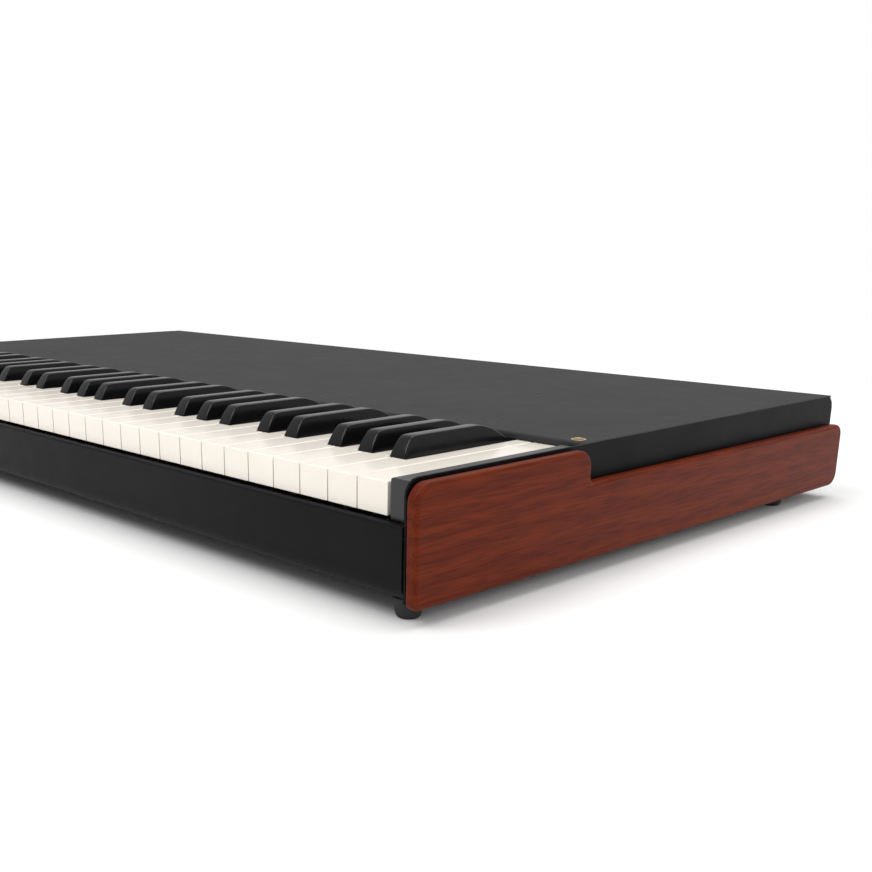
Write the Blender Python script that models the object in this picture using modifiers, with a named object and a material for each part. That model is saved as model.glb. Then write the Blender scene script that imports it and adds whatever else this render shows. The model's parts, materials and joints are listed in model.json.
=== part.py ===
"""Lower manual keyboard: a 61-key waterfall keyboard in a folded steel case with wooden cheeks.

Units are metres. +X is the player's right, +Y the back, +Z up. The origin is on the
table, under the middle of the case.
"""
import math

import bmesh
import bpy
from mathutils import Matrix

mm = 0.001

# Driving dimensions
KEY_PITCH = 23.5 * mm
WHITE_COUNT = 36
KEY_GAP = 1.0 * mm
SEAT_GAP = 0.3 * mm
SHEET = 1.2 * mm
PLATE = 1.5 * mm
CHEEK_THICKNESS = 8.2 * mm
CASE_DEPTH = 458 * mm
FRONT_REACH = 6 * mm
FOOT_HEIGHT = 12 * mm
CHEEK_LIFT = 9.5 * mm
KEY_TOP = 73 * mm
KEY_HEIGHT = 18 * mm
DECK_ABOVE_KEYS = 4.5 * mm
KEY_LENGTH = 204.7 * mm
KEY_WALL = 2 * mm
HEAD_LENGTH = 50 * mm
BLACK_RISE = 12 * mm
BLACK_WIDTH = 13 * mm
BLACK_TOP_WIDTH = 10 * mm
BLACK_REAR = 142 * mm
COVER_FRONT = 146 * mm
COVER_LIP = 4 * mm
BLOCK_GAP = 2 * mm
BLOCK_WIDTH = 14 * mm
BLOCK_LENGTH = 140 * mm
KEY_DIP = 10 * mm
RAIL_TOP_DROP = 20 * mm
RAIL_BEND = 9 * mm
JOINTED_OCTAVES = 3
POST_WIDTH = 4 * mm
POST_DEPTH = 8 * mm
FELT_HEIGHT = 4 * mm
BOARD_THICKNESS = 1.6 * mm
CHEEK_REAR_REACH = 4 * mm
CHEEK_STEP = 139.5 * mm
CHEEK_ROUNDING = 2.2 * mm
FOOT_TOP_RADIUS = 8.8 * mm
FOOT_BOTTOM_RADIUS = 7 * mm
FOOT_INSET = 9.3 * mm
FRONT_FOOT_SETBACK = 15 * mm
REAR_FOOT_SETBACK = 60 * mm
BAR_REACH = 36.7 * mm
BAR_DEPTH = 12 * mm
RELIEF_REACH = 12.7 * mm

# Places worked out from them
FRONT_Y = -(FRONT_REACH + CASE_DEPTH + CHEEK_REAR_REACH) / 2
KEY_FRONT_Y = FRONT_Y + FRONT_REACH
REAR_Y = KEY_FRONT_Y + CASE_DEPTH
KEYS_HALF = WHITE_COUNT * KEY_PITCH / 2
PLATE_INNER_X = KEYS_HALF + BLOCK_GAP + BLOCK_WIDTH + SEAT_GAP
PLATE_OUTER_X = PLATE_INNER_X + PLATE
CHEEK_INNER_X = PLATE_OUTER_X + SEAT_GAP
CHEEK_OUTER_X = CHEEK_INNER_X + CHEEK_THICKNESS
DECK_TOP = KEY_TOP + DECK_ABOVE_KEYS
PAN_TOP = FOOT_HEIGHT + SHEET
KEY_BOTTOM = KEY_TOP - KEY_HEIGHT
RAIL_TOP = KEY_TOP - RAIL_TOP_DROP
FELT_TOP = KEY_BOTTOM - KEY_DIP + 0.2 * mm
CHASSIS_TOP = FELT_TOP - FELT_HEIGHT - SEAT_GAP
HINGE_Y = KEY_FRONT_Y + KEY_LENGTH + SEAT_GAP
INSIDE_X = PLATE_INNER_X - SEAT_GAP

# Notes of an octave: white steps from its C, and where each black key stands
WHITE_NAMES = ("C", "D", "E", "F", "G", "A", "B")
BLACK_OFFSETS = {
    "Cs": (1, -2.35 * mm),
    "Ds": (2, 2.35 * mm),
    "Fs": (4, -3.36 * mm),
    "Gs": (5, 0.0),
    "As": (6, 3.36 * mm),
}
FIRST_OCTAVE = 2
OCTAVES = 5
ARC_STEPS = 4


def material(name, colour, roughness, metallic=0.0):
    made = bpy.data.materials.new(name)
    made.use_nodes = True
    shader = made.node_tree.nodes["Principled BSDF"]
    shader.inputs["Base Color"].default_value = (*colour, 1.0)
    shader.inputs["Roughness"].default_value = roughness
    shader.inputs["Metallic"].default_value = metallic
    return made


def put(name, mesh, finish):
    """Link a mesh as a named piece with one material."""
    piece = bpy.data.objects.new(name, mesh)
    mesh.materials.clear()
    mesh.materials.append(finish)
    PARTS.objects.link(piece)
    return piece


def arc(centre, radius, start, end, steps=ARC_STEPS):
    """Points along an arc, angles in degrees."""
    points = []
    for step in range(steps + 1):
        angle = math.radians(start + (end - start) * step / steps)
        points.append((centre[0] + radius * math.cos(angle), centre[1] + radius * math.sin(angle)))
    return points


def outline_mesh(points, thickness):
    """A closed flat outline in XY, thickened evenly about z = 0."""
    curve = bpy.data.curves.new("outline", "CURVE")
    curve.dimensions = "2D"
    curve.fill_mode = "BOTH"
    curve.extrude = thickness / 2
    spline = curve.splines.new("POLY")
    spline.points.add(len(points) - 1)
    for slot, (across, along) in zip(spline.points, points):
        slot.co = (across, along, 0.0, 1.0)
    spline.use_cyclic_u = True
    drawn = bpy.data.objects.new("outline", curve)
    bpy.context.scene.collection.objects.link(drawn)
    graph = bpy.context.evaluated_depsgraph_get()
    mesh = bpy.data.meshes.new_from_object(drawn.evaluated_get(graph))
    bpy.data.objects.remove(drawn)
    shape = bmesh.new()
    shape.from_mesh(mesh)
    bmesh.ops.remove_doubles(shape, verts=shape.verts, dist=0.01 * mm)
    bmesh.ops.recalc_face_normals(shape, faces=shape.faces)
    shape.to_mesh(mesh)
    shape.free()
    return mesh


def side_profile(name, points, x_from, x_to, finish):
    """A profile drawn in (y, z), extruded along X."""
    mesh = outline_mesh(points, x_to - x_from)
    turn = Matrix(((0, 0, 1, 0), (1, 0, 0, 0), (0, 1, 0, 0), (0, 0, 0, 1)))
    mesh.transform(Matrix.Translation(((x_from + x_to) / 2, 0, 0)) @ turn)
    return put(name, mesh, finish)


def front_profile(name, points, y_from, y_to, finish):
    """A profile drawn in (x, z), extruded along Y."""
    mesh = outline_mesh(points, y_to - y_from)
    turn = Matrix.Rotation(math.radians(90), 4, "X")
    mesh.transform(Matrix.Translation((0, (y_from + y_to) / 2, 0)) @ turn)
    return put(name, mesh, finish)


def box_mesh(low, high):
    shape = bmesh.new()
    bmesh.ops.create_cube(shape, size=1.0)
    size = [high[i] - low[i] for i in range(3)]
    middle = [(high[i] + low[i]) / 2 for i in range(3)]
    bmesh.ops.scale(shape, vec=size, verts=shape.verts)
    bmesh.ops.translate(shape, vec=middle, verts=shape.verts)
    mesh = bpy.data.meshes.new("box")
    shape.to_mesh(mesh)
    shape.free()
    return mesh


def box(name, low, high, finish):
    return put(name, box_mesh(low, high), finish)


def operand(name, meshes):
    """Gather meshes into one hidden object for a Boolean."""
    shape = bmesh.new()
    for mesh in meshes:
        shape.from_mesh(mesh)
    mesh = bpy.data.meshes.new(name)
    shape.to_mesh(mesh)
    shape.free()
    tool = bpy.data.objects.new(name, mesh)
    CUTTERS.objects.link(tool)
    tool.hide_render = True
    tool.display_type = "WIRE"
    return tool


def combine(piece, meshes, operation):
    """Cut meshes from a piece, or join them to it."""
    boolean = piece.modifiers.new(operation.title(), "BOOLEAN")
    boolean.operation = operation
    boolean.solver = "EXACT"
    boolean.object = operand(piece.name + "_" + operation.lower(), meshes)


def hollow_below(shape, wall, ceiling):
    """Open a pocket in the underside, leaving walls and a ceiling at the height given."""
    floor = [face for face in shape.faces if face.normal.z < -0.9]
    bmesh.ops.inset_region(shape, faces=floor, thickness=wall, use_even_offset=True)
    for vert in {vert for face in floor for vert in face.verts}:
        vert.co.z = ceiling


def soften(shape, edges, radius, segments):
    bmesh.ops.bevel(
        shape, geom=edges, offset=radius, segments=segments, profile=0.5, affect="EDGES", clamp_overlap=True
    )


def white_key_mesh(number, last):
    """A square-fronted white key, with its tail narrowed beside the black keys."""
    left = -KEYS_HALF + number * KEY_PITCH + KEY_GAP / 2
    right = left + KEY_PITCH - KEY_GAP
    octave_x = -KEYS_HALF + (number // 7) * 7 * KEY_PITCH
    tail_left = left
    tail_right = right
    if not last:
        for step, shift in BLACK_OFFSETS.values():
            centre = octave_x + step * KEY_PITCH + shift
            clear = BLACK_WIDTH / 2 + KEY_GAP
            if left - clear < centre < (left + right) / 2:
                tail_left = centre + clear
            if (left + right) / 2 < centre < right + clear:
                tail_right = centre - clear
    front = KEY_FRONT_Y
    head = front + HEAD_LENGTH - KEY_GAP
    rear = front + KEY_LENGTH
    points = [(left, front), (right, front)]
    if tail_right < right:
        points += [(right, head), (tail_right, head)]
    points += [(tail_right, rear), (tail_left, rear)]
    if tail_left > left:
        points += [(tail_left, head), (left, head)]
    mesh = outline_mesh(points, KEY_HEIGHT)
    mesh.transform(Matrix.Translation((0, 0, KEY_TOP - KEY_HEIGHT / 2)))
    shape = bmesh.new()
    shape.from_mesh(mesh)
    hollow_below(shape, KEY_WALL, KEY_TOP - 2.5 * mm)
    rim = []
    for edge in shape.edges:
        if len(edge.link_faces) != 2 or min(vert.co.z for vert in edge.verts) < KEY_TOP - 0.1 * mm:
            continue
        tilts = sorted(abs(face.normal.z) for face in edge.link_faces)
        if tilts[0] < 0.1 and tilts[1] > 0.9:
            rim.append(edge)
    soften(shape, rim, 0.7 * mm, 2)
    shape.to_mesh(mesh)
    shape.free()
    return mesh


def black_key_mesh(centre):
    """A black key: sloped front, long ridge, and a rear that dips below the cover."""
    front = KEY_FRONT_Y + HEAD_LENGTH
    ridge_start = front + 5 * mm
    ridge_end = front + 62 * mm
    rear_dip = KEY_FRONT_Y + BLACK_REAR
    rear = KEY_FRONT_Y + KEY_LENGTH
    top = KEY_TOP + BLACK_RISE
    low = KEY_TOP + 0.2 * mm
    points = [(front, KEY_BOTTOM + 0.4 * mm), (rear, KEY_BOTTOM + 0.4 * mm), (rear, low), (rear_dip, low)]
    dip_steps = 5
    for step in range(1, dip_steps + 1):
        share = step / dip_steps
        along = rear_dip + (ridge_end - rear_dip) * share
        points.append((along, low + (top - low) * math.sin(share * math.pi / 2)))
    points += [(ridge_start, top - 0.6 * mm), (front, KEY_TOP + 1 * mm)]
    mesh = outline_mesh(points, BLACK_WIDTH)
    turn = Matrix(((0, 0, 1, 0), (1, 0, 0, 0), (0, 1, 0, 0), (0, 0, 0, 1)))
    mesh.transform(Matrix.Translation((centre, 0, 0)) @ turn)
    shape = bmesh.new()
    shape.from_mesh(mesh)
    hollow_below(shape, 1.8 * mm, KEY_TOP - 6 * mm)
    for vert in shape.verts:
        share = max(0.0, (vert.co.z - KEY_TOP) / BLACK_RISE)
        narrowing = 1 - share * (1 - BLACK_TOP_WIDTH / BLACK_WIDTH)
        vert.co.x = centre + (vert.co.x - centre) * narrowing
    crest = []
    for edge in shape.edges:
        if len(edge.link_faces) != 2 or min(vert.co.z for vert in edge.verts) < KEY_TOP + 0.9 * mm:
            continue
        sides = sorted(abs(face.normal.x) for face in edge.link_faces)
        if sides[0] < 0.3 and sides[1] > 0.8:
            crest.append(edge)
    soften(shape, crest, 0.9 * mm, 1)
    shape.to_mesh(mesh)
    shape.free()
    return mesh


def note_keys():
    """Every key, from the lowest C: its name, colour and mesh."""
    keys = []
    for number in range(WHITE_COUNT):
        octave = FIRST_OCTAVE + number // 7
        last = number == WHITE_COUNT - 1
        name = WHITE_NAMES[number % 7] + str(octave)
        keys.append((name, octave, "white", white_key_mesh(number, last)))
    for index in range(OCTAVES):
        octave = FIRST_OCTAVE + index
        for name, (step, shift) in BLACK_OFFSETS.items():
            centre = -KEYS_HALF + (index * 7 + step) * KEY_PITCH + shift
            keys.append((name + str(octave), octave, "black", black_key_mesh(centre)))
    return keys


def make_keys():
    """Keys of the upper octaves move one by one; the two lowest octaves are fixed groups."""
    first_jointed = FIRST_OCTAVE + OCTAVES - JOINTED_OCTAVES
    low = {"white": [], "black": []}
    for name, octave, colour, mesh in note_keys():
        if octave < first_jointed:
            low[colour].append(mesh)
        else:
            put(colour + "_key_" + name, mesh, FINISH[colour])
    low_end = -KEYS_HALF + (OCTAVES - JOINTED_OCTAVES) * 7 * KEY_PITCH - KEY_GAP / 2
    white_bar = box(
        "low_white_keys",
        (-KEYS_HALF + KEY_GAP / 2, KEY_FRONT_Y + KEY_LENGTH - BAR_REACH, CHASSIS_TOP + SEAT_GAP),
        (low_end, KEY_FRONT_Y + KEY_LENGTH - BAR_REACH + BAR_DEPTH, KEY_BOTTOM + 0.1 * mm),
        FINISH["white"],
    )
    combine(white_bar, low["white"], "UNION")
    cut_box = box_mesh(
        (-KEYS_HALF - KEY_GAP, KEY_FRONT_Y + KEY_LENGTH - RELIEF_REACH, KEY_BOTTOM - KEY_GAP),
        (low_end + KEY_GAP / 2, HINGE_Y + KEY_GAP, KEY_TOP + KEY_GAP),
    )
    combine(white_bar, [cut_box], "DIFFERENCE")
    black_bar = box(
        "low_black_keys",
        (-KEYS_HALF + 10 * mm, KEY_FRONT_Y + KEY_LENGTH - RELIEF_REACH + KEY_GAP, KEY_BOTTOM + 0.6 * mm),
        (low_end - 10 * mm, KEY_FRONT_Y + KEY_LENGTH - 0.2 * mm, KEY_TOP - 8 * mm),
        FINISH["black"],
    )
    combine(black_bar, low["black"], "UNION")


def folded(points_out, points_in):
    """Close a folded sheet from its outer line and its inner line."""
    return points_out + list(reversed(points_in))


def make_case():
    steel = FINISH["steel"]
    # Bottom pan, with upturned edges front and rear
    front = FRONT_Y + PLATE + 12 * mm
    rear = REAR_Y - PLATE - SEAT_GAP
    pan = [
        (front, FOOT_HEIGHT), (rear, FOOT_HEIGHT), (rear, FOOT_HEIGHT + 12 * mm),
        (rear - SHEET, FOOT_HEIGHT + 12 * mm), (rear - SHEET, PAN_TOP), (front, PAN_TOP),
    ]
    side_profile("bottom_pan", pan, -INSIDE_X, INSIDE_X, steel)
    # Front rail: narrow flange at the top, wide bend at the bottom
    face = FRONT_Y + 0.2 * mm
    flange_end = KEY_FRONT_Y - 1.0 * mm
    outer = [(flange_end, RAIL_TOP)]
    outer += arc((face + 1.6 * mm, RAIL_TOP - 1.6 * mm), 1.6 * mm, 90, 180, 3)
    outer += arc((face + RAIL_BEND, FOOT_HEIGHT + RAIL_BEND), RAIL_BEND, 180, 270, 6)
    outer += [(front - SEAT_GAP, FOOT_HEIGHT)]
    inner = [(flange_end, RAIL_TOP - SHEET)]
    inner += arc((face + 1.6 * mm, RAIL_TOP - 1.6 * mm), 0.4 * mm, 90, 180, 3)
    inner += arc((face + RAIL_BEND, FOOT_HEIGHT + RAIL_BEND), RAIL_BEND - SHEET, 180, 270, 6)
    inner += [(front - SEAT_GAP, PAN_TOP)]
    side_profile("front_rail", folded(outer, inner), -INSIDE_X, INSIDE_X, steel)
    # Rear panel with the cut-outs of its two sockets
    rear_panel = box(
        "rear_panel", (-INSIDE_X, REAR_Y - PLATE, FOOT_HEIGHT), (INSIDE_X, REAR_Y, DECK_TOP - PLATE - SEAT_GAP), steel
    )
    holes = []
    for centre, width, height in SOCKETS.values():
        holes.append(box_mesh(
            (centre - width / 2 - SEAT_GAP, REAR_Y - 2 * PLATE, SOCKET_BASE - SEAT_GAP),
            (centre + width / 2 + SEAT_GAP, REAR_Y + PLATE, SOCKET_BASE + height + SEAT_GAP),
        ))
    combine(rear_panel, holes, "DIFFERENCE")
    # Top cover: flat deck with a folded front lip and a rear fold
    lip_front = KEY_FRONT_Y + COVER_FRONT
    deck_under = DECK_TOP - PLATE
    outer = [(lip_front, DECK_TOP - COVER_LIP)]
    outer += arc((lip_front + 2 * mm, DECK_TOP - 2 * mm), 2 * mm, 180, 90, 3)
    outer += [(REAR_Y, DECK_TOP)]
    inner = [(lip_front + PLATE, DECK_TOP - COVER_LIP)]
    inner += [(lip_front + PLATE, deck_under), (REAR_Y, deck_under)]
    side_profile("top_cover", folded(outer, inner), -INSIDE_X, INSIDE_X, FINISH["cover"])
    # End plates, wood cheeks and key blocks
    for side, sign in (("left", -1), ("right", 1)):
        radius = 9 * mm
        plate_low = FOOT_HEIGHT
        plate = [(FRONT_Y + SHEET, plate_low), (REAR_Y, plate_low)]
        plate += arc((REAR_Y - radius, DECK_TOP - radius), radius, 0, 90)
        plate += arc((FRONT_Y + SHEET + radius, DECK_TOP - radius), radius, 90, 180)
        span = sorted((sign * PLATE_INNER_X, sign * PLATE_OUTER_X))
        side_profile(side + "_end_plate", plate, span[0], span[1], steel)
        cheek = cheek_outline()
        span = sorted((sign * CHEEK_INNER_X, sign * CHEEK_OUTER_X))
        wood = side_profile(side + "_wood_cheek", cheek, span[0], span[1], FINISH["wood"])
        rounding = wood.modifiers.new("Bevel", "BEVEL")
        rounding.width = CHEEK_ROUNDING
        rounding.segments = 2
        rounding.limit_method = "ANGLE"
        rounding.angle_limit = math.radians(60)
        block_in = KEYS_HALF + BLOCK_GAP
        block = [(block_in, RAIL_TOP + SEAT_GAP), (block_in + BLOCK_WIDTH, RAIL_TOP + SEAT_GAP)]
        block_top = KEY_TOP + 2.5 * mm
        block += [(block_in + BLOCK_WIDTH, block_top)]
        block += arc((block_in + 1.2 * mm, block_top - 1.2 * mm), 1.2 * mm, 90, 180, 2)
        block = [(sign * across, height) for across, height in block]
        front_profile(side + "_key_block", block, KEY_FRONT_Y, KEY_FRONT_Y + BLOCK_LENGTH, FINISH["block"])


def cheek_outline():
    """Stepped side: high beside the keys, lower behind them, round at the corners."""
    low = CHEEK_LIFT
    high = DECK_TOP - 1.5 * mm
    step_y = KEY_FRONT_Y + CHEEK_STEP
    step_top = KEY_TOP - 16.5 * mm
    front = FRONT_Y
    rear = REAR_Y + CHEEK_REAR_REACH
    points = arc((front + 4 * mm, low + 4 * mm), 4 * mm, 180, 270, 3)
    points += arc((rear - 10 * mm, low + 10 * mm), 10 * mm, 270, 360)
    points += arc((rear - 8 * mm, step_top - 8 * mm), 8 * mm, 0, 90)
    points += arc((step_y + 4 * mm, step_top + 4 * mm), 4 * mm, 270, 180, 3)
    points += arc((step_y - 10 * mm, high - 10 * mm), 10 * mm, 0, 90)
    points += arc((front + 11 * mm, high - 11 * mm), 11 * mm, 90, 180)
    return points


def make_feet():
    for depth_name, along in (
        ("front", FRONT_Y + FRONT_FOOT_SETBACK), ("rear", REAR_Y - REAR_FOOT_SETBACK)
    ):
        for side, sign in (("left", -1), ("right", 1)):
            shape = bmesh.new()
            bmesh.ops.create_cone(
                shape, cap_ends=True, segments=20, radius1=FOOT_BOTTOM_RADIUS, radius2=FOOT_TOP_RADIUS,
                depth=FOOT_HEIGHT - SEAT_GAP,
            )
            place = (sign * (PLATE_INNER_X - FOOT_INSET), along, (FOOT_HEIGHT - SEAT_GAP) / 2)
            bmesh.ops.translate(shape, vec=place, verts=shape.verts)
            mesh = bpy.data.meshes.new("foot")
            shape.to_mesh(mesh)
            shape.free()
            put("foot_" + depth_name + "_" + side, mesh, FINISH["rubber"])


def make_action():
    """Chassis with guide posts, felt, hinge rail and contact board."""
    deck_front = KEY_FRONT_Y + 4 * mm
    deck_rear = HINGE_Y + 10 * mm
    foot = PAN_TOP + SEAT_GAP
    leg = 12 * mm
    outer = [
        (deck_front + leg, foot), (deck_front, foot), (deck_front, CHASSIS_TOP),
        (deck_rear, CHASSIS_TOP), (deck_rear, foot), (deck_rear - leg, foot),
    ]
    inner = [
        (deck_front + leg, foot + SHEET), (deck_front + SHEET, foot + SHEET),
        (deck_front + SHEET, CHASSIS_TOP - SHEET), (deck_rear - SHEET, CHASSIS_TOP - SHEET),
        (deck_rear - SHEET, foot + SHEET), (deck_rear - leg, foot + SHEET),
    ]
    chassis = side_profile("key_chassis", folded(outer, inner), -KEYS_HALF, KEYS_HALF, FINISH["zinc"])
    posts = []
    for number in range(WHITE_COUNT):
        centre = -KEYS_HALF + (number + 0.5) * KEY_PITCH
        posts.append(guide_post(centre, KEY_FRONT_Y + 28 * mm))
    for index in range(OCTAVES):
        for step, shift in BLACK_OFFSETS.values():
            centre = -KEYS_HALF + (index * 7 + step) * KEY_PITCH + shift
            posts.append(guide_post(centre, KEY_FRONT_Y + 80 * mm))
    combine(chassis, posts, "UNION")
    box(
        "down_stop_felt",
        (-KEYS_HALF, KEY_FRONT_Y + 5 * mm, CHASSIS_TOP + SEAT_GAP),
        (KEYS_HALF, KEY_FRONT_Y + 18 * mm, CHASSIS_TOP + SEAT_GAP + FELT_HEIGHT),
        FINISH["felt"],
    )
    box(
        "key_hinge_rail",
        (-KEYS_HALF, HINGE_Y, CHASSIS_TOP + SEAT_GAP),
        (KEYS_HALF, HINGE_Y + 6 * mm, KEY_TOP - 3 * mm),
        FINISH["zinc"],
    )
    box(
        "contact_board",
        (-KEYS_HALF, KEY_FRONT_Y + 110 * mm, CHASSIS_TOP + SEAT_GAP),
        (KEYS_HALF, KEY_FRONT_Y + 150 * mm, CHASSIS_TOP + SEAT_GAP + BOARD_THICKNESS),
        FINISH["board"],
    )


def guide_post(centre, along):
    return box_mesh(
        (centre - POST_WIDTH / 2, along - POST_DEPTH / 2, CHASSIS_TOP - SHEET / 2),
        (centre + POST_WIDTH / 2, along + POST_DEPTH / 2, KEY_TOP - 14.5 * mm),
    )


def make_electronics():
    board_rear = REAR_Y - PLATE - SHEET - 3 * SEAT_GAP
    box(
        "controller_board",
        (200 * mm, board_rear - 80 * mm, PAN_TOP + SEAT_GAP),
        (330 * mm, board_rear, BOARD_TOP),
        FINISH["board"],
    )
    for name, (centre, width, height) in SOCKETS.items():
        socket = box(
            name,
            (centre - width / 2, REAR_Y - 14 * mm, SOCKET_BASE),
            (centre + width / 2, REAR_Y + 0.5 * mm, SOCKET_BASE + height),
            FINISH["socket"],
        )
        wall = 2.5 * mm
        pocket = box_mesh(
            (centre - width / 2 + wall, REAR_Y - 10 * mm, SOCKET_BASE + wall),
            (centre + width / 2 - wall, REAR_Y + 3 * mm, SOCKET_BASE + height - wall),
        )
        combine(socket, [pocket], "DIFFERENCE")


for old in list(bpy.data.objects):
    bpy.data.objects.remove(old)

PARTS = bpy.data.collections.new("lower_manual_keyboard")
CUTTERS = bpy.data.collections.new("cutters")
bpy.context.scene.collection.children.link(PARTS)
bpy.context.scene.collection.children.link(CUTTERS)

FINISH = {
    "steel": material("black_steel", (0.012, 0.012, 0.014), 0.45, 0.0),
    "cover": material("cover_grey", (0.07, 0.07, 0.072), 0.5, 0.0),
    "wood": material("mahogany", (0.13, 0.022, 0.008), 0.3, 0.0),
    "white": material("key_ivory", (0.84, 0.80, 0.76), 0.22, 0.0),
    "black": material("key_black", (0.01, 0.01, 0.011), 0.18, 0.0),
    "block": material("block_black", (0.015, 0.015, 0.016), 0.35, 0.0),
    "rubber": material("rubber", (0.012, 0.012, 0.012), 0.8, 0.0),
    "zinc": material("zinc_plate", (0.55, 0.55, 0.52), 0.4, 1.0),
    "felt": material("red_felt", (0.35, 0.02, 0.02), 0.95, 0.0),
    "board": material("circuit_board", (0.02, 0.12, 0.05), 0.5, 0.0),
    "socket": material("socket_black", (0.02, 0.02, 0.02), 0.4, 0.0),
}
BOARD_TOP = PAN_TOP + SEAT_GAP + BOARD_THICKNESS
SOCKET_BASE = FOOT_HEIGHT + 12 * mm + 2 * SEAT_GAP
SOCKETS = {
    "midi_socket": (240 * mm, 20 * mm, 20 * mm),
    "usb_socket": (290 * mm, 14 * mm, 13 * mm),
}

make_case()
make_feet()
make_action()
make_electronics()
make_keys()
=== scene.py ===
import json
import math

import bmesh
import bpy
from mathutils import Matrix, Vector

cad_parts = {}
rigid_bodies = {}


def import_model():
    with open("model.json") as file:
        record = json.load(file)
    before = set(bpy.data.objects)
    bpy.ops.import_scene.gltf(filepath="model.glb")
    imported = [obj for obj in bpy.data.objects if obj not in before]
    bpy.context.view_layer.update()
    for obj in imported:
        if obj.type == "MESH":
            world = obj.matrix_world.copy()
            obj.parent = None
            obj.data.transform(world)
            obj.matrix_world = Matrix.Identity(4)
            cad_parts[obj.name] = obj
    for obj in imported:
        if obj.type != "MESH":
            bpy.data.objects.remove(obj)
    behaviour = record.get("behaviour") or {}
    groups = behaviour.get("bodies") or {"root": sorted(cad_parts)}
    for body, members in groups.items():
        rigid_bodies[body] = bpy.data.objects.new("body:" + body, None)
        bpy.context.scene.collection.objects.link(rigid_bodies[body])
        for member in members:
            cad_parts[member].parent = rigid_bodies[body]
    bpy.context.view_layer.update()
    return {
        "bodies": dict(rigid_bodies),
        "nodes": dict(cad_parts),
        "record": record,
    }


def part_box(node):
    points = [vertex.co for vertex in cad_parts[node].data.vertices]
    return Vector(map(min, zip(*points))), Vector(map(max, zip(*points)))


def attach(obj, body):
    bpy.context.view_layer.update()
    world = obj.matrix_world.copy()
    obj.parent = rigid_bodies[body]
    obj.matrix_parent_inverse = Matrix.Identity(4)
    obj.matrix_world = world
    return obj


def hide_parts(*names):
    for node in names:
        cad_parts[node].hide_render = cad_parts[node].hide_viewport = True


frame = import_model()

mm = 0.001
NODES = frame["nodes"]
COVER_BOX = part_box("top_cover")
DECK_TOP = COVER_BOX[1][2]
KEY_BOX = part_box("white_key_C7")
KEY_FRONT_Y = KEY_BOX[0][1]
KEY_REAR_Y = KEY_BOX[1][1]
KEY_TOP = KEY_BOX[1][2]
KEY_PITCH = 23.5 * mm
WHITE_COUNT = 36
KEYS_HALF = WHITE_COUNT * KEY_PITCH / 2


# Camera, fitted to points of the photograph
PHOTO_SIZE = 872
FOCAL_PIXELS = 1115.3
CENTRE_PIXEL = (347.6, 576.8)
CAMERA_PLACE = (0.8222, -0.6210, 0.1906)
CAMERA_HEADING = math.radians(-47.58)
CAMERA_DOWN = math.radians(16.75)
SENSOR = 36.0


def make_camera():
    data = bpy.data.cameras.new("camera")
    data.sensor_width = SENSOR
    data.lens = FOCAL_PIXELS * SENSOR / PHOTO_SIZE
    data.shift_x = (PHOTO_SIZE / 2 - CENTRE_PIXEL[0]) / PHOTO_SIZE
    data.shift_y = (CENTRE_PIXEL[1] - PHOTO_SIZE / 2) / PHOTO_SIZE
    camera = bpy.data.objects.new("camera", data)
    bpy.context.scene.collection.objects.link(camera)
    level = math.cos(CAMERA_DOWN)
    forward = Vector((
        level * math.sin(CAMERA_HEADING), level * math.cos(CAMERA_HEADING), -math.sin(CAMERA_DOWN)
    ))
    right = Vector((math.cos(CAMERA_HEADING), -math.sin(CAMERA_HEADING), 0.0))
    up = right.cross(forward)
    turn = Matrix((right, up, -forward)).transposed().to_4x4()
    camera.matrix_world = Matrix.Translation(CAMERA_PLACE) @ turn
    bpy.context.scene.camera = camera


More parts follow.
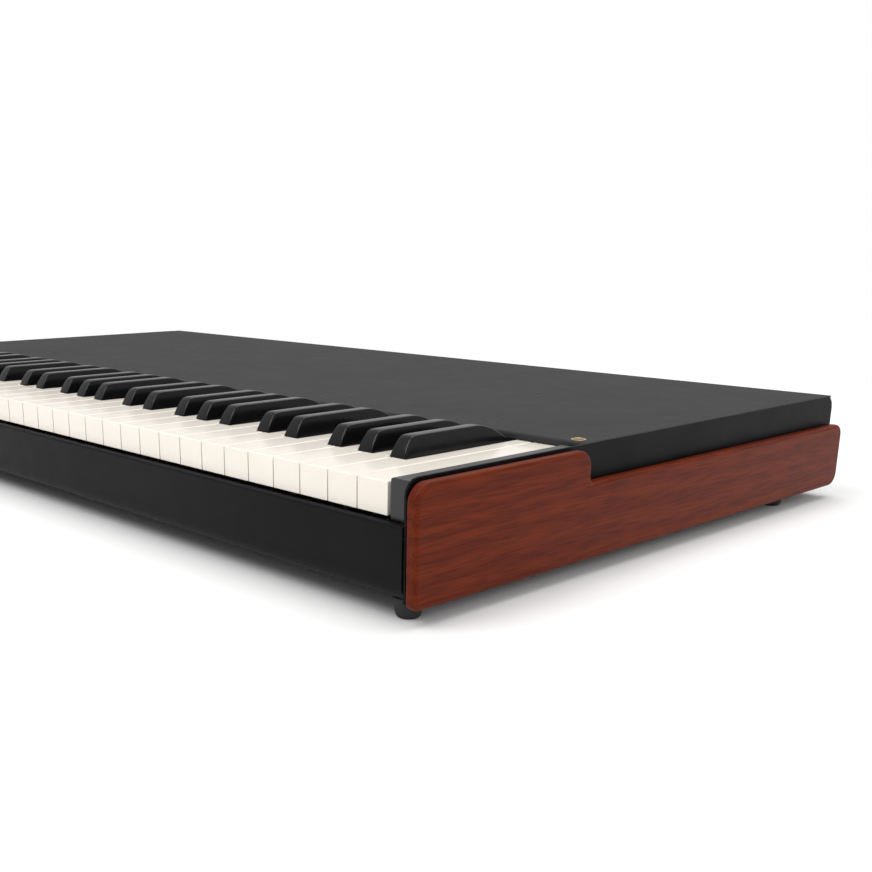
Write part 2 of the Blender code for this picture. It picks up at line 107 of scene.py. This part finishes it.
# Materials
class Finish:
    """A Principled material that gathers its nodes as they are added."""

    def __init__(self, name, colour, roughness, metallic=0.0, coat=0.0, specular=0.5):
        self.material = bpy.data.materials.new(name)
        self.material.use_nodes = True
        self.tree = self.material.node_tree
        self.shader = self.tree.nodes["Principled BSDF"]
        self.shader.inputs["Base Color"].default_value = (*colour, 1.0)
        self.shader.inputs["Roughness"].default_value = roughness
        self.shader.inputs["Metallic"].default_value = metallic
        self.shader.inputs["Specular IOR Level"].default_value = specular
        self.shader.inputs["Coat Weight"].default_value = coat
        self.shader.inputs["Coat Roughness"].default_value = 0.08
        self.place = self.tree.nodes.new("ShaderNodeTexCoord").outputs["Object"]

    def stretched(self, stretch):
        mapping = self.tree.nodes.new("ShaderNodeMapping")
        mapping.inputs["Scale"].default_value = stretch
        self.tree.links.new(self.place, mapping.inputs["Vector"])
        return mapping.outputs["Vector"]

    def noise(self, scale, detail=4.0, stretch=(1, 1, 1)):
        place = self.stretched(stretch)
        texture = self.tree.nodes.new("ShaderNodeTexNoise")
        texture.inputs["Scale"].default_value = scale
        texture.inputs["Detail"].default_value = detail
        self.tree.links.new(place, texture.inputs["Vector"])
        return texture.outputs["Fac"]

    def waves(self, scale, distortion, detail, detail_scale, stretch):
        texture = self.tree.nodes.new("ShaderNodeTexWave")
        texture.bands_direction = "Z"
        texture.inputs["Scale"].default_value = scale
        texture.inputs["Distortion"].default_value = distortion
        texture.inputs["Detail"].default_value = detail
        texture.inputs["Detail Scale"].default_value = detail_scale
        self.tree.links.new(self.stretched(stretch), texture.inputs["Vector"])
        return texture.outputs["Fac"]

    def ramp(self, value, low, high, low_at=0.3, high_at=0.7):
        ramp = self.tree.nodes.new("ShaderNodeValToRGB")
        ramp.color_ramp.elements[0].position = low_at
        ramp.color_ramp.elements[0].color = (*low, 1.0)
        ramp.color_ramp.elements[1].position = high_at
        ramp.color_ramp.elements[1].color = (*high, 1.0)
        self.tree.links.new(value, ramp.inputs["Fac"])
        return ramp.outputs["Color"]

    def multiply(self, first, second, share):
        mix = self.tree.nodes.new("ShaderNodeMix")
        mix.data_type = "RGBA"
        mix.blend_type = "MULTIPLY"
        mix.inputs["Factor"].default_value = share
        self.tree.links.new(first, mix.inputs["A"])
        self.tree.links.new(second, mix.inputs["B"])
        return mix.outputs["Result"]

    def colour_from(self, colour):
        self.tree.links.new(colour, self.shader.inputs["Base Color"])

    def roughness_from(self, value, low, high):
        scale = self.tree.nodes.new("ShaderNodeMapRange")
        scale.inputs["To Min"].default_value = low
        scale.inputs["To Max"].default_value = high
        self.tree.links.new(value, scale.inputs["Value"])
        self.tree.links.new(scale.outputs["Result"], self.shader.inputs["Roughness"])

    def bump_from(self, value, height, strength):
        bump = self.tree.nodes.new("ShaderNodeBump")
        bump.inputs["Distance"].default_value = height
        bump.inputs["Strength"].default_value = strength
        self.tree.links.new(value, bump.inputs["Height"])
        self.tree.links.new(bump.outputs["Normal"], self.shader.inputs["Normal"])


def powder_coat(name, dark, light, roughness):
    finish = Finish(name, light, roughness, specular=0.08)
    finish.colour_from(finish.ramp(finish.noise(scale=14.0, detail=5.0), dark, light))
    finish.roughness_from(finish.noise(scale=60.0), roughness - 0.06, roughness + 0.06)
    finish.bump_from(finish.noise(scale=1600.0, detail=2.0), height=0.05 * mm, strength=0.35)
    return finish.material


def mahogany():
    """Reddish wood whose figure runs along Y, darkened by fine pores."""
    finish = Finish("mahogany", (0.12, 0.02, 0.006), 0.45, coat=0.05, specular=0.08)
    figure = finish.waves(
        scale=26.0, distortion=9.0, detail=5.0, detail_scale=1.6, stretch=(1.0, 0.10, 1.0)
    )
    grain = finish.ramp(figure, (0.105, 0.0115, 0.0012), (0.135, 0.0170, 0.0018), 0.0, 1.0)
    streaks = finish.noise(scale=650.0, detail=3.0, stretch=(1, 0.06, 1))
    pores = finish.ramp(streaks, (0.35, 0.28, 0.25), (1, 1, 1), 0.38, 0.56)
    finish.colour_from(finish.multiply(grain, pores, 0.5))
    fibres = finish.noise(scale=520.0, detail=3.0, stretch=(1, 0.03, 1))
    finish.bump_from(fibres, height=0.03 * mm, strength=0.25)
    return finish.material


def ivory():
    finish = Finish("ivory_plastic", (0.82, 0.79, 0.75), 0.2, coat=0.3)
    tint = finish.ramp(finish.noise(scale=9.0), (0.86, 0.79, 0.70), (0.90, 0.84, 0.755))
    finish.colour_from(tint)
    finish.roughness_from(finish.noise(scale=90.0), 0.16, 0.26)
    finish.bump_from(finish.noise(scale=260.0, detail=1.0), height=0.02 * mm, strength=0.1)
    return finish.material


def ebony():
    finish = Finish("black_plastic", (0.004, 0.004, 0.0045), 0.14, specular=0.3)
    finish.roughness_from(finish.noise(scale=120.0), 0.12, 0.24)
    finish.bump_from(finish.noise(scale=340.0, detail=1.0), height=0.02 * mm, strength=0.12)
    return finish.material


def moulded(name, colour, roughness):
    finish = Finish(name, colour, roughness)
    finish.roughness_from(finish.noise(scale=80.0), roughness - 0.08, roughness + 0.08)
    finish.bump_from(finish.noise(scale=1100.0, detail=2.0), height=0.04 * mm, strength=0.3)
    return finish.material


def plated(name, colour, roughness):
    finish = Finish(name, colour, roughness, metallic=1.0)
    finish.roughness_from(finish.noise(scale=70.0, detail=3.0), roughness - 0.1, roughness + 0.1)
    brushing = finish.noise(scale=700.0, detail=2.0, stretch=(1, 12, 1))
    finish.bump_from(brushing, height=0.02 * mm, strength=0.2)
    return finish.material


def felt():
    finish = Finish("felt", (0.33, 0.02, 0.02), 0.95)
    finish.colour_from(finish.ramp(finish.noise(scale=400.0), (0.22, 0.012, 0.012), (0.42, 0.03, 0.03)))
    finish.bump_from(finish.noise(scale=1800.0, detail=6.0), height=0.4 * mm, strength=0.6)
    return finish.material


def circuit_board():
    finish = Finish("solder_resist", (0.02, 0.13, 0.05), 0.35, coat=0.3)
    finish.colour_from(finish.ramp(finish.noise(scale=40.0), (0.012, 0.09, 0.035), (0.03, 0.15, 0.06)))
    return finish.material


BLACK_STEEL = powder_coat("black_steel", (0.003, 0.003, 0.0035), (0.006, 0.006, 0.007), 0.46)
# The cover is black painted steel. Its grey base is painted light that stands in for the light its upward
# face catches; the slight mottling is random tone.
COVER_PAINTED_LIGHT = powder_coat("cover_grey", (0.034, 0.033, 0.034), (0.039, 0.038, 0.039), 0.6)
MAHOGANY = mahogany()
IVORY = ivory()
EBONY = ebony()
BLOCK = moulded("block_satin", (0.004, 0.004, 0.0045), 0.26)
RUBBER = moulded("rubber", (0.016, 0.016, 0.016), 0.75)
SOCKET = moulded("socket_plastic", (0.018, 0.018, 0.018), 0.42)
ZINC = plated("zinc_plate", (0.62, 0.61, 0.58), 0.35)
BRASS = plated("brass", (0.72, 0.52, 0.24), 0.3)
SCREW = plated("black_oxide", (0.06, 0.06, 0.065), 0.42)
FELT = felt()
BOARD = circuit_board()

BY_SLOT = {
    "case_steel": BLACK_STEEL, "cover_grey": COVER_PAINTED_LIGHT, "cheek_wood": MAHOGANY,
    "key_ivory": IVORY, "key_black": EBONY, "block_black": BLOCK, "foot_rubber": RUBBER,
    "chassis_zinc": ZINC, "stop_felt": FELT, "board_green": BOARD, "socket_black": SOCKET,
}


# Edges
SMOOTH_BELOW = math.radians(34)
ROUNDED_ABOVE = math.radians(40)
NODE_ROUNDINGS = {
    "top_cover": 0.5 * mm,
    "left_end_plate": 0.5 * mm,
    "right_end_plate": 0.5 * mm,
    "rear_panel": 0.3 * mm,
    "left_key_block": 0.8 * mm,
    "right_key_block": 0.8 * mm,
}


def smooth(piece):
    """Shade a piece smooth across its shallow edges."""
    piece.data.shade_smooth()
    piece.data.set_sharp_from_angle(angle=SMOOTH_BELOW)


def round_edges(piece, width, segments):
    bevel = piece.modifiers.new("rounding", "BEVEL")
    bevel.width = width
    bevel.segments = segments
    bevel.limit_method = "ANGLE"
    bevel.angle_limit = ROUNDED_ABOVE
    bevel.harden_normals = True


def finish_nodes():
    """Give every CAD node its finish, and the outer ones a small rounding."""
    for entry in frame["record"]["subparts"]:
        piece = NODES[entry["node"]]
        piece.data.materials.clear()
        piece.data.materials.append(BY_SLOT[entry["material_slot"]])
        smooth(piece)
    for name, width in NODE_ROUNDINGS.items():
        round_edges(NODES[name], width, segments=2)


# Pieces made here
def add_piece(name, mesh, material, body="root"):
    mesh.materials.clear()
    mesh.materials.append(material)
    piece = bpy.data.objects.new(name, mesh)
    bpy.context.scene.collection.objects.link(piece)
    smooth(piece)
    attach(piece, body)
    return piece


def mesh_of(shape, name):
    mesh = bpy.data.meshes.new(name)
    shape.to_mesh(mesh)
    shape.free()
    return mesh


def closed_loft(shape, rings):
    """Join rings of equal count into a closed skin."""
    count = len(rings[0])
    for low, high in zip(rings, rings[1:]):
        for index in range(count):
            after = (index + 1) % count
            shape.faces.new((low[index], low[after], high[after], high[index]))
    shape.faces.new(list(reversed(rings[0])))
    shape.faces.new(rings[-1])


def turned_mesh(name, profile, steps=28):
    """A closed turned shape about Z from (radius, height) points, bottom to top."""
    shape = bmesh.new()
    rings = []
    for radius, height in profile:
        ring = []
        for step in range(steps):
            angle = 2 * math.pi * step / steps
            ring.append(shape.verts.new((radius * math.cos(angle), radius * math.sin(angle), height)))
        rings.append(ring)
    closed_loft(shape, rings)
    return mesh_of(shape, name)


# Screws
PANEL_SCREW_RADIUS = 2.6 * mm
PANEL_SCREW_HEIGHT = 1.5 * mm
PANEL_SCREW_COLUMNS = (-400 * mm, -200 * mm, 0.0, 150 * mm, 400 * mm)
PANEL_SCREW_ROWS = {"low": 16 * mm, "high": 64 * mm}
RECESS_WIDTH = 0.55 * mm
RECESS_DEPTH = 1.0 * mm
DECK_SCREW_RADIUS = 1.7 * mm
DECK_SCREW_STEPS = 12
PAIR_COLUMNS = (-345 * mm, -265 * mm, -105 * mm, -25 * mm, 116 * mm, 195 * mm, 345 * mm)
PAIR_ROWS = {"front": -69 * mm, "back": -44 * mm}
MIDDLE_COLUMNS = (-345 * mm, -185 * mm, -25 * mm, 120 * mm, 280 * mm)
MIDDLE_ROW = 75 * mm
END_COLUMN = 430 * mm
END_ROWS = (-51 * mm, 65 * mm, 180 * mm)


def recess_cutter(name, radius, crown):
    """Two crossed bars that cut a cross recess into a screw's crown."""
    shape = bmesh.new()
    for turn in (0.0, 90.0):
        bar = bmesh.ops.create_cube(shape, size=1.0)["verts"]
        bmesh.ops.scale(shape, vec=(radius * 1.1, RECESS_WIDTH, RECESS_DEPTH), verts=bar)
        spin = Matrix.Rotation(math.radians(turn), 3, "Z")
        bmesh.ops.rotate(shape, cent=(0, 0, 0), matrix=spin, verts=bar)
        bmesh.ops.translate(shape, vec=(0, 0, crown), verts=bar)
    cutter = bpy.data.objects.new(name, mesh_of(shape, name))
    bpy.context.scene.collection.objects.link(cutter)
    return cutter


def panel_screw(name, place):
    """A pan-head screw with a cross recess, on the rear panel."""
    radius = PANEL_SCREW_RADIUS
    crown = PANEL_SCREW_HEIGHT * 1.04
    piece = add_piece(name, turned_mesh(name, (
        (radius * 0.98, 0.0), (radius, 0.3 * mm), (radius * 0.9, PANEL_SCREW_HEIGHT * 0.75),
        (radius * 0.6, PANEL_SCREW_HEIGHT), (radius * 0.3, crown),
    )), SCREW)
    cutter = recess_cutter(name + "_slots", radius, crown)
    cut = piece.modifiers.new("recess", "BOOLEAN")
    cut.operation = "DIFFERENCE"
    cut.object = cutter
    cut.use_self = True
    graph = bpy.context.evaluated_depsgraph_get()
    done = bpy.data.meshes.new_from_object(piece.evaluated_get(graph))
    piece.modifiers.clear()
    piece.data = done
    bpy.data.objects.remove(cutter)
    turn = Vector((0, 1, 0)).to_track_quat("Z", "Y").to_matrix().to_4x4()
    done.transform(Matrix.Translation(place) @ turn)


def deck_screw(name, across, along):
    """A small low-head screw with a rounded rim and a round recess, on the cover."""
    mesh = turned_mesh(name, (
        (DECK_SCREW_RADIUS, -0.3 * mm), (DECK_SCREW_RADIUS, 0.15 * mm), (1.5 * mm, 0.35 * mm),
        (0.8 * mm, 0.35 * mm), (0.75 * mm, -0.1 * mm), (0.2 * mm, -0.15 * mm),
    ), DECK_SCREW_STEPS)
    mesh.transform(Matrix.Translation((across, along, DECK_TOP)))
    add_piece(name, mesh, SCREW)


def make_screws():
    """Deck screws in pairs behind the keys, in a middle row and by each end, and panel screws."""
    for number, across in enumerate(PAIR_COLUMNS):
        for row_name, along in PAIR_ROWS.items():
            deck_screw(f"cover_screw_{row_name}_{number}", across, along)
    for number, across in enumerate(MIDDLE_COLUMNS):
        deck_screw(f"cover_screw_middle_{number}", across, MIDDLE_ROW)
    for sign, side in ((-1, "left"), (1, "right")):
        for number, along in enumerate(END_ROWS):
            deck_screw(f"cover_screw_{side}_{number}", sign * END_COLUMN, along)
    rear_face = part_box("rear_panel")[1][1]
    for number, across in enumerate(PANEL_SCREW_COLUMNS):
        for level, height in PANEL_SCREW_ROWS.items():
            panel_screw(f"rear_screw_{level}_{number}", (across, rear_face, height))


# Deck locators and socket pins
LOCATOR_PLACE = (428 * mm, COVER_BOX[0][1] + 7.5 * mm)
LOCATOR_PROFILE = (
    (4.6 * mm, -1.2 * mm), (4.6 * mm, 0.25 * mm), (4.3 * mm, 0.4 * mm), (3.4 * mm, 0.4 * mm),
    (3.2 * mm, 0.2 * mm), (3.2 * mm, -0.8 * mm), (0.4 * mm, -0.8 * mm),
)
LOCATOR_STEPS = 36
PIN_COUNT = 5
PIN_CIRCLE = 4.5 * mm
PIN_PROFILE = ((0.7 * mm, 0.0), (0.7 * mm, 6 * mm), (0.4 * mm, 6.6 * mm))
PIN_STEPS = 12
POCKET_DEPTH = 10.3 * mm


def make_deck_locators():
    """Brass inserts in the cover, near its front corners."""
    for sign, side in ((-1, "left"), (1, "right")):
        name = "deck_locator_" + side
        mesh = turned_mesh(name, LOCATOR_PROFILE, LOCATOR_STEPS)
        mesh.transform(Matrix.Translation((sign * LOCATOR_PLACE[0], LOCATOR_PLACE[1], DECK_TOP)))
        add_piece(name, mesh, BRASS)


def make_socket_pins():
    """Five pins on a half circle, in the pocket of the MIDI socket."""
    low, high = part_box("midi_socket")
    middle_x = (low[0] + high[0]) / 2
    middle_z = (low[2] + high[2]) / 2
    back = high[1] - POCKET_DEPTH
    outward = Matrix.Rotation(math.radians(-90), 4, "X")
    for number in range(PIN_COUNT):
        angle = math.pi + math.pi * number / (PIN_COUNT - 1)
        name = f"midi_pin_{number}"
        pin = turned_mesh(name, PIN_PROFILE, PIN_STEPS)
        place = (middle_x + PIN_CIRCLE * math.cos(angle), back, middle_z + PIN_CIRCLE * math.sin(angle))
        pin.transform(Matrix.Translation(place) @ outward)
        add_piece(name, pin, ZINC)


# Black keys: fine-edged meshes that stand for the CAD keys
FIRST_OCTAVE = 2
OCTAVES = 5
BLACK_OFFSETS = {
    "Cs": (1, -2.35 * mm),
    "Ds": (2, 2.35 * mm),
    "Fs": (4, -3.36 * mm),
    "Gs": (5, 0.0),
    "As": (6, 3.36 * mm),
}
BLACK_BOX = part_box("black_key_As6")
BLACK_FRONT_Y = BLACK_BOX[0][1]
BLACK_WIDTH = 13 * mm
SIDE_DRAFT = 1.9 * mm
CREST_RADIUS = 1.1 * mm
CREST_STEPS = 4
SINK = 1.5 * mm
SKIRT = 17.6 * mm
CROWN = BLACK_BOX[1][2] - KEY_TOP + SINK
FRONT_SLOPE = 7 * mm
FRONT_STEPS = 6
FRONT_LOW = 2.5 * mm
FRONT_HIGH = CROWN - 0.6 * mm
TAIL_LOW = 1.7 * mm
TAIL_STEPS = 12
RIDGE_END_Y = BLACK_FRONT_Y + 62 * mm
TAIL_END_Y = KEY_FRONT_Y + 142 * mm


def black_key_stations():
    """Points along a black key and its height there, above the sunken base line."""
    stations = []
    for step in range(FRONT_STEPS + 1):
        share = step / FRONT_STEPS
        along = BLACK_FRONT_Y + FRONT_SLOPE * share * (0.75 + 0.25 * share)
        stations.append((along, FRONT_LOW + (FRONT_HIGH - FRONT_LOW) * share * (1.25 - 0.25 * share)))
    stations.append((BLACK_FRONT_Y + 9 * mm, CROWN - 0.1 * mm))
    stations.append((BLACK_FRONT_Y + 14 * mm, CROWN))
    stations.append((RIDGE_END_Y, CROWN))
    for step in range(1, TAIL_STEPS + 1):
        share = step / TAIL_STEPS
        along = RIDGE_END_Y + (TAIL_END_Y - RIDGE_END_Y) * share
        stations.append((along, TAIL_LOW + (CROWN - TAIL_LOW) * math.cos(share * math.pi / 2)))
    stations.append((KEY_REAR_Y, TAIL_LOW))
    return stations


def black_key_section(height):
    """Outline across a black key: skirt, drafted sides and rounded crests."""
    half = BLACK_WIDTH / 2
    top_half = half - SIDE_DRAFT * min(1.0, height / CROWN)
    points = [(half, SINK - SKIRT), (half, 0.0)]
    for step in range(CREST_STEPS + 1):
        angle = math.pi / 2 * step / CREST_STEPS
        points.append((
            top_half - CREST_RADIUS + CREST_RADIUS * math.cos(angle),
            height - CREST_RADIUS + CREST_RADIUS * math.sin(angle),
        ))
    return points + [(-across, up) for across, up in reversed(points)]


def black_key_mesh(name, centre):
    """A black key lofted along Y, from its sloped front to the dip below the cover."""
    shape = bmesh.new()
    sections = []
    for along, height in black_key_stations():
        section = []
        for across, up in black_key_section(height):
            section.append(shape.verts.new((centre + across, along, KEY_TOP - SINK + up)))
        sections.append(section)
    closed_loft(shape, sections)
    bmesh.ops.recalc_face_normals(shape, faces=shape.faces)
    return mesh_of(shape, name)


def make_black_keys():
    """Each black key rides on its own body, or on the root in the fixed low octaves."""
    for index in range(OCTAVES):
        for note, (step, shift) in BLACK_OFFSETS.items():
            note_name = note + str(FIRST_OCTAVE + index)
            name = "sharp_" + note_name
            centre = -KEYS_HALF + (index * 7 + step) * KEY_PITCH + shift
            moves = "key_" + note_name in frame["bodies"]
            body = "key_" + note_name if moves else "root"
            node = "black_key_" + note_name if moves else "low_black_keys"
            piece = add_piece(name, black_key_mesh(name, centre), EBONY, body)
            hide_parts(node)


# Cheeks
CHEEK_STEP_Y = KEY_FRONT_Y + 139.5 * mm
CHEEK_STEP_TOP = KEY_TOP - 16.5 * mm
CHEEK_ROUNDING = 2.6 * mm


def arc(centre, radius, start, end, steps=10):
    """Points along an arc, angles in degrees."""
    points = []
    for step in range(steps + 1):
        angle = math.radians(start + (end - start) * step / steps)
        points.append((centre[0] + radius * math.cos(angle), centre[1] + radius * math.sin(angle)))
    return points


def corner(across, up, radius, start, end):
    """A rounded corner of an outline; the signs say on which side its centre lies."""
    centre_y = across - radius * math.copysign(1, math.cos(math.radians((start + end) / 2)))
    centre_z = up - radius * math.copysign(1, math.sin(math.radians((start + end) / 2)))
    return arc((centre_y, centre_z), radius, start, end)


def cheek_outline(low, high):
    """Side outline of a cheek, with the radii of the CAD cheek in finer steps."""
    points = corner(low[1], low[2], 4 * mm, 180, 270)
    points += corner(high[1], low[2], 10 * mm, 270, 360)
    points += corner(high[1], CHEEK_STEP_TOP, 8 * mm, 0, 90)
    points += corner(CHEEK_STEP_Y, CHEEK_STEP_TOP, 4 * mm, 270, 180)
    points += corner(CHEEK_STEP_Y, high[2], 10 * mm, 0, 90)
    points += corner(low[1], high[2], 11 * mm, 90, 180)
    return points


def make_cheeks():
    for side in ("left", "right"):
        node = side + "_wood_cheek"
        name = node + "_fine"
        low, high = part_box(node)
        shape = bmesh.new()
        ring = [shape.verts.new((low[0], along, height)) for along, height in cheek_outline(low, high)]
        face = shape.faces.new(ring)
        made = bmesh.ops.extrude_face_region(shape, geom=[face])
        moved = [item for item in made["geom"] if isinstance(item, bmesh.types.BMVert)]
        bmesh.ops.translate(shape, vec=(high[0] - low[0], 0, 0), verts=moved)
        bmesh.ops.recalc_face_normals(shape, faces=shape.faces)
        piece = add_piece(name, mesh_of(shape, name), MAHOGANY, "root")
        round_edges(piece, CHEEK_ROUNDING, segments=5)
        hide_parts(node)


# Feet
FOOT_RIM = (
    (4.4 * mm, 0.0), (5.6 * mm, 0.2 * mm), (6.5 * mm, 0.8 * mm), (6.95 * mm, 1.8 * mm), (7.3 * mm, 3.0 * mm),
)
FOOT_STEPS = 40


def make_feet():
    """Turned rubber feet with a rounded lower rim, widest at the top."""
    for depth_name in ("front", "rear"):
        for side in ("left", "right"):
            node = f"foot_{depth_name}_{side}"
            name = node + "_fine"
            low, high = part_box(node)
            tall = high[2] - low[2]
            widest = (high[0] - low[0]) / 2
            top = ((widest - 0.15 * mm, tall - 1.0 * mm), (widest, tall - 0.4 * mm), (widest, tall))
            mesh = turned_mesh(name, FOOT_RIM + top, FOOT_STEPS)
            mesh.transform(Matrix.Translation(((low[0] + high[0]) / 2, (low[1] + high[1]) / 2, low[2])))
            piece = add_piece(name, mesh, RUBBER, "root")
            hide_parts(node)


# Floor, backdrop and light
FLOOR_SIZE = 12.0
FADE_START = 0.55
FADE_END = 1.1
AMBIENT = 0.6
AIM = Vector((0, 0, 0.03))
LAMPS = (
    ("key_light", (-0.6, -1.9, 2.6), 44.0, 1.8),
    ("top_light", (0.3, 0.6, 2.8), 46.0, 2.4),
    ("side_light", (2.6, -0.4, 1.3), 14.0, 1.2),
)


def floor_material():
    """A pale floor that fades into the white backdrop far away, for the camera only."""
    material = bpy.data.materials.new("floor")
    material.use_nodes = True
    tree = material.node_tree
    shader = tree.nodes["Principled BSDF"]
    shader.inputs["Base Color"].default_value = (0.86, 0.86, 0.855, 1.0)
    shader.inputs["Roughness"].default_value = 0.95
    shader.inputs["Specular IOR Level"].default_value = 0.1
    distance = tree.nodes.new("ShaderNodeVectorMath")
    distance.operation = "LENGTH"
    tree.links.new(tree.nodes.new("ShaderNodeTexCoord").outputs["Object"], distance.inputs[0])
    fade = tree.nodes.new("ShaderNodeMapRange")
    fade.inputs["From Min"].default_value = FADE_START
    fade.inputs["From Max"].default_value = FADE_END
    tree.links.new(distance.outputs["Value"], fade.inputs["Value"])
    seen = tree.nodes.new("ShaderNodeMath")
    seen.operation = "MULTIPLY"
    tree.links.new(fade.outputs["Result"], seen.inputs[0])
    tree.links.new(tree.nodes.new("ShaderNodeLightPath").outputs["Is Camera Ray"], seen.inputs[1])
    white = tree.nodes.new("ShaderNodeEmission")
    white.inputs["Color"].default_value = (1.0, 1.0, 1.0, 1.0)
    mix = tree.nodes.new("ShaderNodeMixShader")
    tree.links.new(seen.outputs["Value"], mix.inputs["Fac"])
    tree.links.new(shader.outputs["BSDF"], mix.inputs[1])
    tree.links.new(white.outputs["Emission"], mix.inputs[2])
    tree.links.new(mix.outputs["Shader"], tree.nodes["Material Output"].inputs["Surface"])
    return material


def make_floor():
    bpy.ops.mesh.primitive_plane_add(size=FLOOR_SIZE, location=(0, 0, 0))
    floor = bpy.context.object
    floor.name = "floor"
    floor.data.materials.append(floor_material())


def make_backdrop():
    """A white world to the camera, and a softer one to the object."""
    world = bpy.data.worlds.new("studio")
    bpy.context.scene.world = world
    world.use_nodes = True
    tree = world.node_tree
    background = tree.nodes["Background"]
    background.inputs["Color"].default_value = (1.0, 1.0, 1.0, 1.0)
    level = tree.nodes.new("ShaderNodeMapRange")
    level.inputs["To Min"].default_value = AMBIENT
    level.inputs["To Max"].default_value = 1.0
    tree.links.new(tree.nodes.new("ShaderNodeLightPath").outputs["Is Camera Ray"], level.inputs["Value"])
    tree.links.new(level.outputs["Result"], background.inputs["Strength"])


def make_lamps():
    for name, place, power, size in LAMPS:
        light = bpy.data.lights.new(name, "AREA")
        light.energy = power
        light.size = size
        lamp = bpy.data.objects.new(name, light)
        bpy.context.scene.collection.objects.link(lamp)
        lamp.location = place
        lamp.rotation_euler = (AIM - Vector(place)).to_track_quat("-Z", "Y").to_euler()


make_camera()
finish_nodes()
make_black_keys()
make_cheeks()
make_feet()
make_screws()
make_deck_locators()
make_socket_pins()
make_floor()
make_backdrop()
make_lamps()
bpy.context.scene.view_settings.view_transform = "Standard"
